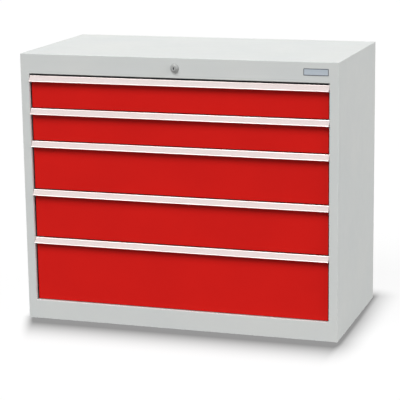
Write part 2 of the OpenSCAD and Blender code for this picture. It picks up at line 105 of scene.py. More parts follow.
def spread(tree, value, low, high, fromLow=0.3, fromHigh=0.7):
    node = addNode(tree, "ShaderNodeMapRange")
    for key, number in (("From Min", fromLow), ("From Max", fromHigh), ("To Min", low), ("To Max", high)):
        node.inputs[key].default_value = number
    tree.links.new(value, node.inputs["Value"])
    return node.outputs["Result"]


def maths(tree, operation, first, second):
    node = addNode(tree, "ShaderNodeMath", operation=operation)
    for socket, value in zip(node.inputs, (first, second)):
        if isinstance(value, (int, float)):
            socket.default_value = value
        else:
            tree.links.new(value, socket)
    return node.outputs["Value"]


def times(tree, first, second):
    return maths(tree, "MULTIPLY", first, second)


def mixColours(tree, factor, first, second):
    node = addNode(tree, "ShaderNodeMix", data_type="RGBA")
    tree.links.new(factor, node.inputs[0])
    for socket, value in ((node.inputs[6], first), (node.inputs[7], second)):
        if isinstance(value, tuple):
            socket.default_value = value
        else:
            tree.links.new(value, socket)
    return node.outputs[2]


def bump(tree, shader, height, strength, distance):
    node = addNode(tree, "ShaderNodeBump")
    node.inputs["Strength"].default_value = strength
    node.inputs["Distance"].default_value = distance
    tree.links.new(height, node.inputs["Height"])
    tree.links.new(node.outputs["Normal"], shader.inputs["Normal"])


# Scales of the fine noise in the finishes, and how deep their relief is
fine = {"rub": 90, "coatGloss": 35, "zinc": 600, "zincStrength": 0.12, "turned": 160, "ringWaver": 1.5,
        "skinGloss": 60}
relief = {"coat": 0.05 * mm, "drawn": 0.03 * mm, "zinc": 0.04 * mm, "turned": 0.02 * mm, "skin": 0.03 * mm}


# Powder coat: fine orange peel, faint clouds in the colour, folds painted a little lighter in noisy patches,
# as rubbed paint and as a painted sheen on the folds
def powderCoat(name, look):
    material, tree, shader = newFinish(name)
    clouds = spread(tree, grain(tree, look["cloudScale"], 4), 0, 1)
    base = mixColours(tree, clouds, look["shade"], look["colour"])
    fold = addNode(tree, "ShaderNodeAttribute", attribute_name="foldEdge")
    wornAndSheen = spread(tree, grain(tree, fine["rub"], 5), 0, look["rub"], 0.4, 0.65)
    # the folds' patches are painted lighter, as rub and as painted sheen
    rub = times(tree, fold.outputs["Fac"], wornAndSheen)
    tree.links.new(mixColours(tree, rub, base, look["rubbed"]), shader.inputs["Base Color"])
    gloss = spread(tree, grain(tree, fine["coatGloss"], 4), *look["roughness"])
    tree.links.new(gloss, shader.inputs["Roughness"])
    shader.inputs["Specular IOR Level"].default_value = look["specular"]
    bump(tree, shader, grain(tree, look["peelScale"], 2), look["peel"], relief["coat"])
    return material


# Metal with a grain drawn along one axis, from rolling, drawing or extruding
def drawnMetal(name, look):
    material, tree, shader = newFinish(name)
    lines = grain(tree, look["lineScale"], 3, look["stretch"])
    clouds = spread(tree, grain(tree, look["cloudScale"], 3), 0, 1)
    tone = mixColours(tree, clouds, look["shade"], look["colour"])
    lined = mixColours(tree, spread(tree, lines, 0, look["lineTone"]), tone, look["lineColour"])
    tree.links.new(lined, shader.inputs["Base Color"])
    tree.links.new(spread(tree, lines, *look["roughness"]), shader.inputs["Roughness"])
    shader.inputs["Metallic"].default_value = look["metallic"]
    bump(tree, shader, lines, look["lineDepth"], relief["drawn"])
    return material


# Zinc plate: small crystal patches over a rolled sheet
def zincPlate(name, look):
    material, tree, shader = newFinish(name)
    place = addNode(tree, "ShaderNodeTexCoord")
    patches = addNode(tree, "ShaderNodeTexVoronoi")
    patches.inputs["Scale"].default_value = look["patchScale"]
    tree.links.new(place.outputs["Object"], patches.inputs["Vector"])
    patch = addNode(tree, "ShaderNodeSeparateColor")
    tree.links.new(patches.outputs["Color"], patch.inputs["Color"])
    tone = mixColours(tree, patch.outputs["Red"], look["shade"], look["colour"])
    tree.links.new(tone, shader.inputs["Base Color"])
    rough = spread(tree, patch.outputs["Green"], *look["roughness"], fromLow=0, fromHigh=1)
    tree.links.new(rough, shader.inputs["Roughness"])
    shader.inputs["Metallic"].default_value = look["metallic"]
    bump(tree, shader, grain(tree, fine["zinc"], 3), fine["zincStrength"], relief["zinc"])
    return material


# Turned metal: fine rings round an axis along Y through the given point
def turnedMetal(name, look, centre):
    material, tree, shader = newFinish(name)
    place = addNode(tree, "ShaderNodeTexCoord")
    mapping = addNode(tree, "ShaderNodeMapping")
    mapping.inputs["Location"].default_value = (-centre.x, -centre.y, -centre.z)
    rings = addNode(tree, "ShaderNodeTexWave", wave_type="RINGS", rings_direction="Y")
    rings.inputs["Scale"].default_value = look["ringScale"]
    rings.inputs["Distortion"].default_value = fine["ringWaver"]
    tree.links.new(place.outputs["Object"], mapping.inputs["Vector"])
    tree.links.new(mapping.outputs["Vector"], rings.inputs["Vector"])
    clouds = spread(tree, grain(tree, fine["turned"], 3), 0, 1)
    tone = mixColours(tree, clouds, look["shade"], look["colour"])
    tree.links.new(tone, shader.inputs["Base Color"])
    rough = spread(tree, rings.outputs["Fac"], *look["roughness"], fromLow=0, fromHigh=1)
    tree.links.new(rough, shader.inputs["Roughness"])
    shader.inputs["Metallic"].default_value = look["metallic"]
    bump(tree, shader, rings.outputs["Fac"], look["ringDepth"], relief["turned"])
    return material


# Moulded plastic or printed card: a soft mottle and a fine skin
def mouldedSkin(name, look):
    material, tree, shader = newFinish(name)
    mottle = spread(tree, grain(tree, look["mottleScale"], 4), 0, 1)
    tone = mixColours(tree, mottle, look["shade"], look["colour"])
    tree.links.new(tone, shader.inputs["Base Color"])
    gloss = spread(tree, grain(tree, fine["skinGloss"], 3), *look["roughness"])
    tree.links.new(gloss, shader.inputs["Roughness"])
    shader.inputs["Specular IOR Level"].default_value = look["specular"]
    bump(tree, shader, grain(tree, look["skinScale"], 3), look["skin"], relief["skin"])
    return material


# Each paint's lighter fold colour is painted on the folds as rubbed paint and as a painted sheen
greyPaint = {"colour": colour(200, 202, 200), "shade": colour(196, 199, 198),
             "rubbed": colour(214, 216, 215), "cloudScale": 5, "rub": 0.6, "roughness": (0.5, 0.58),
             "specular": 0.35, "peelScale": 900, "peel": 0.25}
redPaint = {"colour": colour(202, 22, 16), "shade": colour(196, 20, 15),
            "rubbed": colour(216, 62, 52), "cloudScale": 5, "rub": 0.5, "roughness": (0.5, 0.58),
            "specular": 0.12, "peelScale": 900, "peel": 0.22}
trayPaint = {"colour": colour(186, 189, 189), "shade": colour(179, 183, 184),
             "rubbed": colour(202, 204, 204), "cloudScale": 7, "rub": 0.6, "roughness": (0.45, 0.58),
             "specular": 0.35, "peelScale": 800, "peel": 0.25}
paleAluminium = {"colour": colour(214, 202, 200), "shade": colour(208, 196, 194),
                 "lineColour": colour(194, 183, 181), "cloudScale": 6, "lineScale": 600,
                 "stretch": (0.004, 1, 1), "lineTone": 0.4, "lineDepth": 0.2,
                 "roughness": (0.42, 0.52), "metallic": 0.35}
rivetMetal = {"colour": colour(205, 206, 207), "shade": colour(184, 186, 188),
              "lineColour": colour(160, 162, 165), "cloudScale": 60, "lineScale": 900,
              "stretch": (1, 1, 1), "lineTone": 0.3, "lineDepth": 0.2,
              "roughness": (0.3, 0.45), "metallic": 0.9}
ballSteel = {"colour": colour(188, 190, 193), "shade": colour(170, 173, 177),
             "lineColour": colour(140, 144, 150), "cloudScale": 80, "lineScale": 700,
             "stretch": (1, 0.05, 1), "lineTone": 0.3, "lineDepth": 0.1,
             "roughness": (0.16, 0.3), "metallic": 1.0}
badgeBorder = {"colour": colour(92, 96, 104), "shade": colour(80, 84, 92),
               "lineColour": colour(70, 74, 82), "cloudScale": 40, "lineScale": 900,
               "stretch": (0.02, 1, 1), "lineTone": 0.4, "lineDepth": 0.15,
               "roughness": (0.35, 0.5), "metallic": 0.3}
badgeField = {"colour": colour(184, 192, 200), "shade": colour(172, 181, 190),
              "lineColour": colour(158, 168, 178), "cloudScale": 30, "lineScale": 900,
              "stretch": (0.02, 1, 1), "lineTone": 0.5, "lineDepth": 0.2,
              "roughness": (0.3, 0.45), "metallic": 0.3}
zincSheet = {"colour": colour(198, 200, 202), "shade": colour(176, 180, 184), "patchScale": 110,
             "roughness": (0.3, 0.5), "metallic": 0.85}
nickelPlate = {"colour": colour(166, 167, 165), "shade": colour(154, 156, 155), "ringScale": 900,
               "ringDepth": 0.1, "roughness": (0.4, 0.5), "metallic": 0.25}
# Dark plastic of the bar guides, also put on the lock's keyway walls as painted shade
darkPlasticAndKeywayShade = {"colour": colour(44, 45, 47), "shade": colour(36, 37, 39), "mottleScale": 40,
               "skinScale": 500, "skin": 0.3, "roughness": (0.45, 0.6), "specular": 0.5}
labelCard = {"colour": colour(207, 195, 193), "shade": colour(201, 189, 187), "mottleScale": 300,
             "skinScale": 900, "skin": 0.12, "roughness": (0.55, 0.65), "specular": 0.15}

lockLow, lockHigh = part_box("lock_cylinder")
lockCentre = Vector(((lockLow.x + lockHigh.x) / 2, lockLow.y, (lockLow.z + lockHigh.z) / 2))
finishes = {
    "carcass_paint": powderCoat("light grey powder coat", greyPaint),
    "front_paint": powderCoat("red powder coat", redPaint),
    "tray_paint": powderCoat("grey tray coat", trayPaint),
    "handle_aluminium": drawnMetal("pale anodised extrusion", paleAluminium),
    "label_plastic": mouldedSkin("blank label card", labelCard),
    "zinc_steel": zincPlate("zinc plate", zincSheet),
    "bearing_steel": drawnMetal("bearing steel", ballSteel),
    "lock_nickel": turnedMetal("satin nickel", nickelPlate, lockCentre),
    "guide_plastic": mouldedSkin("dark moulded plastic", darkPlasticAndKeywayShade),
    "badge_aluminium": drawnMetal("badge border", badgeBorder),
    "rivet_aluminium": drawnMetal("plain rivet aluminium", rivetMetal),
}
fieldFinish = drawnMetal("badge field", badgeField)
print("finishes made:", len(finishes) + 1)

nodeSlot = {row["node"]: row["material_slot"] for row in frame["record"]["subparts"]}
nodeBody = {node: body for body, nodes in frame["record"]["behaviour"]["bodies"].items() for node in nodes}
for node, piece in frame["nodes"].items():
    piece.data.materials.clear()
    piece.data.materials.append(finishes[nodeSlot[node]])


# A CAD node's triangles, merged, with its flat faces made whole
def copyOf(node):
    bm = bmesh.new()
    bm.from_mesh(frame["nodes"][node].data)
    bm.faces.layers.float.new("foldEdge")
    bmesh.ops.remove_doubles(bm, verts=bm.verts, dist=limits["merge"])
    bmesh.ops.dissolve_limit(bm, angle_limit=math.radians(limits["flat"]), verts=bm.verts, edges=bm.edges)
    return bm


# Rounds the outward edges that wanted(middle, direction) picks, and marks them as folds
def roundEdges(bm, radius, wanted, segments=3):
    edges = []
    corner = math.radians(limits["corner"])
    for edge in bm.edges:
        if len(edge.link_faces) == 2 and edge.calc_face_angle_signed() > corner:
            start, end = (vert.co for vert in edge.verts)
            if wanted((start + end) / 2, end - start):
                edges.append(edge)
    made = bmesh.ops.bevel(bm, geom=edges, offset=radius, offset_type="OFFSET", segments=segments,
                           profile=0.5, affect="EDGES", clamp_overlap=True)
    fold = bm.faces.layers.float["foldEdge"]
    for face in made["faces"]:
        face[fold] = 1.0


def near(first, second):
    return abs(first - second) < limits["match"]


def runsAlong(direction, axis):
    return abs(direction[axis]) > limits["straight"] * direction.length


# Shades the folds smooth and keeps the sharp edges
def smoothFolds(mesh, angle=limits["fold"]):
    mesh.polygons.foreach_set("use_smooth", [True] * len(mesh.polygons))
    mesh.set_sharp_from_angle(angle=math.radians(angle))


# Hangs a mesh on its body; weighted normals keep the sheets beside a fold flat
def placePiece(name, mesh, body, slotName, *nodes):
    piece = bpy.data.objects.new(name, mesh)
    scene.collection.objects.link(piece)
    weighted = piece.modifiers.new("flat sheets", "WEIGHTED_NORMAL")
    weighted.keep_sharp = True
    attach(piece, body)
    if nodes:
        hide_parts(*nodes)


# Takes out faces without area, which bevels and boolean cuts leave
def dropSlivers(bm):
    bmesh.ops.dissolve_degenerate(bm, edges=bm.edges, dist=limits["sliver"])


def finishPiece(name, bm, body, slotName, *nodes, extra=()):
    mesh = bpy.data.meshes.new(name)
    dropSlivers(bm)
    bm.to_mesh(mesh)
    bm.free()
    for material in (finishes[slotName], *extra):
        mesh.materials.append(material)
    smoothFolds(mesh)
    placePiece(name, mesh, body, slotName, *nodes)


def dressNode(node, name, bm):
    finishPiece(name, bm, nodeBody[node], nodeSlot[node], node)


# Carcass: folded sheets, rounded only where a real fold shows, so that flush seams stay unseen
carcass = {"openingRound": 1.2 * mm, "topRound": 1.2 * mm, "footRound": 0.5 * mm}
fasciaLow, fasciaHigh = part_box("top_fascia")
plinthLow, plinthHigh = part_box("front_plinth")
frontY = fasciaLow.y

bm = copyOf("top_panel")
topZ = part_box("top_panel")[1].z
roundEdges(bm, carcass["topRound"], lambda at, way: near(at.z, topZ))
dressNode("top_panel", "topPanel", bm)

bm = copyOf("top_fascia")
roundEdges(bm, carcass["openingRound"],
           lambda at, way: runsAlong(way, 0) and near(at.z, fasciaLow.z) and near(at.y, frontY))
dressNode("top_fascia", "topFascia", bm)

bm = copyOf("front_plinth")
roundEdges(bm, carcass["openingRound"],
           lambda at, way: runsAlong(way, 0) and near(at.z, plinthHigh.z) and near(at.y, frontY))
roundEdges(bm, carcass["footRound"],
           lambda at, way: runsAlong(way, 0) and near(at.z, plinthLow.z) and near(at.y, frontY))
dressNode("front_plinth", "frontPlinth", bm)

for side, stileX in (("left", fasciaLow.x), ("right", fasciaHigh.x)):
    bm = copyOf(side + "_side_panel")
    for z in (plinthHigh.z, fasciaLow.z):
        bmesh.ops.bisect_plane(bm, geom=[*bm.verts, *bm.edges, *bm.faces], dist=limits["sliver"],
                               plane_co=(0, 0, z), plane_no=(0, 0, 1))
    roundEdges(bm, carcass["openingRound"], lambda at, way: runsAlong(way, 2) and near(at.x, stileX)
               and near(at.y, frontY) and plinthHigh.z < at.z < fasciaLow.z)
    dressNode(side + "_side_panel", side + "SidePanel", bm)
print("carcass sheets dressed")


# Revolves a closed or open outline of (radius, along) about an axis through centre
def lathe(outline, centre, axis, segments, closed=False):
    bm = bmesh.new()
    bm.faces.layers.float.new("foldEdge")
    turn = Vector((0, 0, 1)).rotation_difference(Vector(axis)).to_matrix()
    rings = []
    for step in range(segments):
        angle = 2 * math.pi * step / segments
        rings.append([bm.verts.new(centre + turn @ Vector((r * math.cos(angle), r * math.sin(angle), along)))
                      for r, along in outline])
    count = len(outline)
    for step in range(segments):
        here, there = rings[step], rings[(step + 1) % segments]
        for i in range(count if closed else count - 1):
            j = (i + 1) % count
            bm.faces.new((here[i], there[i], there[j], here[j]))
    bmesh.ops.remove_doubles(bm, verts=bm.verts, dist=limits["sliver"])
    bmesh.ops.recalc_face_normals(bm, faces=bm.faces)
    return bm


def arc(centre, radius, start, end, steps=5):
    angles = [math.radians(start + (end - start) * i / steps) for i in range(steps + 1)]
    return [(centre[0] + radius * math.cos(a), centre[1] + radius * math.sin(a)) for a in angles]


# Lock cylinder, in millimetres: rounded head in a conical rosette, threaded body behind the fascia.
# Along runs into the cabinet.
lock = {"headRadius": 8.0, "headProud": 9.0, "headRound": 0.7, "boreRadius": 5.56, "boreChamfer": 0.5,
        "coneRadius": 8.5, "coneHeight": 8.0, "rosetteRadius": 13.5, "rosetteRim": 1.0, "rimRound": 0.5,
        "bodyRadius": 9.0, "bodyLength": 28.0, "threadStart": 3.0, "threadPitch": 1.5, "threadDepth": 0.6,
        "keywayRound": 0.25, "keywayReach": 4.5, "keywayDepth": 18.5, "nutRound": 0.5, "nutFlat": 5.0,
        "segments": 72}
outline = [(lock["boreRadius"], lock["boreChamfer"] - lock["headProud"]),
           (lock["boreRadius"] + lock["boreChamfer"], -lock["headProud"])]
outline += arc((lock["headRadius"] - lock["headRound"], lock["headRound"] - lock["headProud"]),
               lock["headRound"], -90, 0, 6)
cone = Vector((lock["coneRadius"], -lock["coneHeight"]))
rim = Vector((lock["rosetteRadius"], -lock["rosetteRim"]))
outline += [(lock["headRadius"], cone.y), tuple(cone),
            tuple(rim + lock["rimRound"] * (cone - rim).normalized()),
            (rim.x, rim.y + lock["rimRound"]), (rim.x, 0),
            (lock["bodyRadius"], 0), (lock["bodyRadius"], lock["threadStart"])]
turns = int((lock["bodyLength"] - lock["threadStart"]) / lock["threadPitch"]) - 1
for i in range(turns):
    along = lock["threadStart"] + i * lock["threadPitch"]
    outline += [(lock["bodyRadius"] - lock["threadDepth"], along + lock["threadPitch"] / 2),
                (lock["bodyRadius"], along + lock["threadPitch"])]
outline += [(lock["bodyRadius"] - lock["threadDepth"], lock["bodyLength"]),
            (lock["boreRadius"], lock["bodyLength"])]
lockFace = Vector((lockCentre.x, frontY, lockCentre.z))
outline = [(radius * mm, along * mm) for radius, along in outline]
bm = lathe(outline, lockFace, (0, 1, 0), lock["segments"], closed=True)
finishPiece("lockCylinder", bm, "carcass", "lock_nickel", "lock_cylinder")

bm = copyOf("lock_plug")
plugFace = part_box("lock_plug")[0].y
roundEdges(bm, lock["keywayRound"] * mm, lambda at, way: near(at.y, plugFace), segments=2)
for face in bm.faces:  # painted shade: the keyway's walls take the dark plastic finish in place of the shade deep in the keyway
    at = (face.calc_center_median() - Vector((lockCentre.x, plugFace, lockCentre.z))) / mm
    inKeyway = math.hypot(at.x, at.z) < lock["keywayReach"]
    if inKeyway and 2 * lock["keywayRound"] < at.y < lock["keywayDepth"]:
        face.material_index = 1
finishPiece("lockPlug", bm, "lock", "lock_nickel", "lock_plug", extra=(finishes["guide_plastic"],))

bm = copyOf("lock_nut")
roundEdges(bm, lock["nutRound"] * mm,
           lambda at, way: abs(way.y) < limits["edge"] and way.length > lock["nutFlat"] * mm, segments=2)
dressNode("lock_nut", "lockNut", bm)
print("lock dressed")

# Badge: a blank plate, its field sunk a little inside a darker border
badge = {"border": 1.5 * mm, "slope": 0.2 * mm, "sunk": 0.3 * mm, "cornerRound": 1.2 * mm,
         "edgeRound": 0.3 * mm}
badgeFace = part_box("badge_plate")[0].y
bm = copyOf("badge_plate")
roundEdges(bm, badge["cornerRound"], lambda at, way: runsAlong(way, 1))
roundEdges(bm, badge["edgeRound"], lambda at, way: near(at.y, badgeFace), segments=2)
face = max((f for f in bm.faces if f.normal.y < -limits["straight"]), key=lambda f: f.calc_area())
bmesh.ops.inset_individual(bm, faces=[face], thickness=badge["border"], depth=0)
bmesh.ops.inset_individual(bm, faces=[face], thickness=badge["slope"], depth=-badge["sunk"])
face.material_index = 1
finishPiece("badgePlate", bm, "carcass", "badge_aluminium", "badge_plate", extra=(fieldFinish,))
print("badge dressed")

# Geometry Nodes: a head made by a helper object, set on points that carry the way it faces.
# Dome angles are in radians; the rivet's hole is in shares of the mandrel's radius and the head's height.
fixings = {"screwHead": 3.9 * mm, "screwHeight": 2.3 * mm, "screwSkirt": 0.35,
           "screwDome": (0.35, 0.7, 1.0, 1.3), "recessWidth": 0.9 * mm, "recessLength": 4.4 * mm,
           "recessDepth": 1.4 * mm, "strokeDepths": (1.0, 0.95),
           "rivetHead": 4.0 * mm, "rivetHeight": 1.2 * mm, "rivetSkirt": 0.2, "rivetDome": (0.4, 0.8, 1.15),
           "mandrel": 1.1 * mm, "mandrelHole": ((1.0, 0.98), (0.8, 0.55), (0.0, 0.5)),
           "foot": 0.3 * mm, "segments": 20, "smooth": 40}


def newTree(name, inputs):
    tree = bpy.data.node_groups.new(name, "GeometryNodeTree")
    tree.interface.new_socket("Geometry", in_out="INPUT", socket_type="NodeSocketGeometry")
    sockets = {}
    for label, kind in inputs:
        sockets[label] = tree.interface.new_socket(label, in_out="INPUT", socket_type=kind).identifier
    tree.interface.new_socket("Geometry", in_out="OUTPUT", socket_type="NodeSocketGeometry")
    return tree, addNode(tree, "NodeGroupInput"), addNode(tree, "NodeGroupOutput"), sockets


def endTree(tree, given, out, geometry):
    real = addNode(tree, "GeometryNodeRealizeInstances")
    paint = addNode(tree, "GeometryNodeSetMaterial")
    tree.links.new(geometry, real.inputs["Geometry"])
    tree.links.new(real.outputs["Geometry"], paint.inputs["Geometry"])
    tree.links.new(given.outputs["Finish"], paint.inputs["Material"])
    tree.links.new(paint.outputs["Geometry"], out.inputs["Geometry"])


def headTree():
    tree, given, out, sockets = newTree("fixing heads", (
        ("Head", "NodeSocketObject"), ("Recess Size", "NodeSocketVector"),
        ("Recess Place", "NodeSocketVector"), ("Finish", "NodeSocketMaterial")))
    head = addNode(tree, "GeometryNodeObjectInfo")
    tree.links.new(given.outputs["Head"], head.inputs["Object"])
    shape = head.outputs["Geometry"]
    for quarter, depth in zip((0, math.pi / 2), fixings["strokeDepths"]):  # a cross recess
        stroke = addNode(tree, "GeometryNodeMeshCube")
        turned = addNode(tree, "GeometryNodeTransform")
        recess = addNode(tree, "GeometryNodeMeshBoolean", operation="DIFFERENCE")
        turned.inputs["Rotation"].default_value = (0, 0, quarter)
        turned.inputs["Scale"].default_value = (1, 1, depth)
        tree.links.new(given.outputs["Recess Size"], stroke.inputs["Size"])
        tree.links.new(given.outputs["Recess Place"], turned.inputs["Translation"])
        tree.links.new(stroke.outputs["Mesh"], turned.inputs["Geometry"])
        tree.links.new(shape, recess.inputs["Mesh 1"])
        tree.links.new(turned.outputs["Geometry"], recess.inputs["Mesh 2"])
        shape = recess.outputs["Mesh"]
    facing = addNode(tree, "GeometryNodeInputNamedAttribute", data_type="FLOAT_VECTOR")
    facing.inputs["Name"].default_value = "facing"
    turn = addNode(tree, "FunctionNodeAlignRotationToVector", axis="Z")
    tree.links.new(facing.outputs["Attribute"], turn.inputs["Vector"])
    place = addNode(tree, "GeometryNodeInstanceOnPoints")
    tree.links.new(given.outputs["Geometry"], place.inputs["Points"])
    tree.links.new(shape, place.inputs["Instance"])
    tree.links.new(turn.outputs["Rotation"], place.inputs["Rotation"])
    endTree(tree, given, out, place.outputs["Instances"])
    return tree, sockets


# Runs a tree on a mesh and keeps the result as a plain mesh
def bakeTree(name, mesh, tree, settings):
    maker = bpy.data.objects.new(name, mesh)
    scene.collection.objects.link(maker)
    modifier = maker.modifiers.new("maker", "NODES")
    modifier.node_group = tree
    for identifier, value in settings.items():
        modifier[identifier] = value
    bpy.context.view_layer.update()
    made = bpy.data.meshes.new_from_object(maker.evaluated_get(bpy.context.evaluated_depsgraph_get()))
    made.name = name
    bpy.data.objects.remove(maker)
    return made


# A domed head on a short upright skirt; its foot is sunk, and top closes the outline on the axis
def helperHead(name, radius, height, skirt, angles, top):
    dome = [(radius * math.cos(a), height * (skirt + (1 - skirt) * math.sin(a))) for a in angles]
    foot = [(0, -fixings["foot"]), (radius, -fixings["foot"]), (radius, skirt * height)]
    bm = lathe(foot + dome + top, Vector((0, 0, 0)), (0, 0, 1), fixings["segments"])
    mesh = bpy.data.meshes.new(name)
    bm.to_mesh(mesh)
    bm.free()
    mesh.polygons.foreach_set("use_smooth", [True] * len(mesh.polygons))
    helper = bpy.data.objects.new(name, mesh)
    scene.collection.objects.link(helper)
    return helper


def pointMesh(name, points):
    mesh = bpy.data.meshes.new(name)
    mesh.from_pydata([at for at, way in points], [], [])
    facing = mesh.attributes.new("facing", "FLOAT_VECTOR", "POINT")
    for row, (at, way) in zip(facing.data, points):
        row.vector = way
    return mesh


screwHead = helperHead("screwHead", fixings["screwHead"], fixings["screwHeight"], fixings["screwSkirt"],
                       fixings["screwDome"], [(0, fixings["screwHeight"])])
rivetHeight = fixings["rivetHeight"]
hole = [(across * fixings["mandrel"], up * rivetHeight) for across, up in fixings["mandrelHole"]]
rivetHead = helperHead("rivetHead", fixings["rivetHead"], rivetHeight, fixings["rivetSkirt"],
                       fixings["rivetDome"], hole)
fixingTree, fixingSockets = headTree()


def setHeads(name, points, head, body, slotName, *nodes, recessed=True):
    size = (fixings["recessLength"], fixings["recessWidth"], 2 * fixings["recessDepth"])
    mesh = bakeTree(name, pointMesh(name, points), fixingTree, {
        fixingSockets["Head"]: head, fixingSockets["Recess Size"]: size if recessed else (0, 0, 0),
        fixingSockets["Recess Place"]: (0, 0, fixings["screwHeight"] if recessed else 1.0),
        fixingSockets["Finish"]: finishes[slotName]})
    bm = bmesh.new()
    bm.from_mesh(mesh)
    bmesh.ops.remove_doubles(bm, verts=bm.verts, dist=limits["merge"])
    dropSlivers(bm)
    bm.to_mesh(mesh)
    bm.free()
    smoothFolds(mesh, fixings["smooth"])
    placePiece(name, mesh, body, slotName, *nodes)


# Back panel's rivets, a domed head on each face of the lapped sheets
backRivets = {"perRow": 6}
rivetLow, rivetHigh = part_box("back_panel_rivets")
headRadius = fixings["rivetHead"]
pitch = (rivetHigh.z - rivetLow.z - 2 * headRadius) / (backRivets["perRow"] - 1)
points = []
for x in (rivetLow.x + headRadius, rivetHigh.x - headRadius):
    for i in range(backRivets["perRow"]):
        z = rivetLow.z + headRadius + i * pitch
        points.append(((x, rivetHigh.y - rivetHeight, z), (0, 1, 0)))
        points.append(((x, rivetLow.y + rivetHeight, z), (0, -1, 0)))
setHeads("backPanelRivets", points, rivetHead, "carcass", "rivet_aluminium", "back_panel_rivets",
         recessed=False)
print("back panel riveted:", len(points), "heads")


# Trays: folded foot edges, a hemmed rim and rows of slots for dividers, cut by Geometry Nodes
tray = {"foldRound": 1.4 * mm, "foldLength": 30 * mm, "sheet": 1.2 * mm,
        "hemDepth": 9 * mm, "hemProud": 0.7 * mm, "hemRound": 0.6 * mm,
        "hemOut": 0.05 * mm, "hemIn": 2.6 * mm,
        "slotWidth": 3 * mm, "slotPitch": 17 * mm, "slotFoot": 16 * mm, "slotHead": 18 * mm,
        "sideSlots": 23, "frontSlots": 49, "punchSpare": 3 * mm,
        "screwXs": (-400 * mm, -135 * mm, 135 * mm, 400 * mm), "screwRise": 9 * mm, "screwDrop": 13 * mm,
        "rivetRise": 8 * mm, "rivetEnd": 20 * mm}


def slotTree():
    tree, given, out, sockets = newTree("divider slots", (
        ("Side Slot Size", "NodeSocketVector"), ("Side Row Start", "NodeSocketVector"),
        ("Front Slot Size", "NodeSocketVector"), ("Front Row Start", "NodeSocketVector"),
        ("Side Slots", "NodeSocketInt"), ("Front Slots", "NodeSocketInt"),
        ("Slot Pitch", "NodeSocketFloat"), ("Finish", "NodeSocketMaterial")))
    sheet = given.outputs["Geometry"]
    for row, axis in (("Side", "Y"), ("Front", "X")):
        step = addNode(tree, "ShaderNodeCombineXYZ")
        line = addNode(tree, "GeometryNodeMeshLine")
        punch = addNode(tree, "GeometryNodeMeshCube")
        place = addNode(tree, "GeometryNodeInstanceOnPoints")
        real = addNode(tree, "GeometryNodeRealizeInstances")
        cut = addNode(tree, "GeometryNodeMeshBoolean", operation="DIFFERENCE")
        tree.links.new(given.outputs["Slot Pitch"], step.inputs[axis])
        tree.links.new(given.outputs[row + " Slots"], line.inputs["Count"])
        tree.links.new(given.outputs[row + " Row Start"], line.inputs["Start Location"])
        tree.links.new(step.outputs["Vector"], line.inputs["Offset"])
        tree.links.new(given.outputs[row + " Slot Size"], punch.inputs["Size"])
        tree.links.new(line.outputs["Mesh"], place.inputs["Points"])
        tree.links.new(punch.outputs["Mesh"], place.inputs["Instance"])
        tree.links.new(place.outputs["Instances"], real.inputs["Geometry"])
        tree.links.new(sheet, cut.inputs["Mesh 1"])
        tree.links.new(real.outputs["Geometry"], cut.inputs["Mesh 2"])
        sheet = cut.outputs["Mesh"]
    endTree(tree, given, out, sheet)
    return tree, sockets


slotCutter, slotSockets = slotTree()


# Folded-over rim: a rounded strip on the inside of the four walls
def rimHem(name, low, high, body):
    bm = bmesh.new()
    bm.faces.layers.float.new("foldEdge")
    foot, head = high.z - tray["hemDepth"], high.z + tray["hemProud"]
    outside, inside = tray["hemOut"], tray["hemIn"]
    rings = []
    for inset, z in ((outside, foot), (outside, head), (inside, head), (inside, foot)):
        left, right, fore, aft = low.x + inset, high.x - inset, low.y + inset, high.y - inset
        corners = ((left, fore), (right, fore), (right, aft), (left, aft))
        rings.append([bm.verts.new((x, y, z)) for x, y in corners])
    for ring, following in zip(rings, rings[1:] + rings[:1]):
        for i in range(4):
            j = (i + 1) % 4
            bm.faces.new((ring[i], ring[j], following[j], following[i]))
    bmesh.ops.recalc_face_normals(bm, faces=bm.faces)
    roundEdges(bm, tray["hemRound"], lambda at, way: near(way.z, 0))
    finishPiece(name, bm, body, "tray_paint")


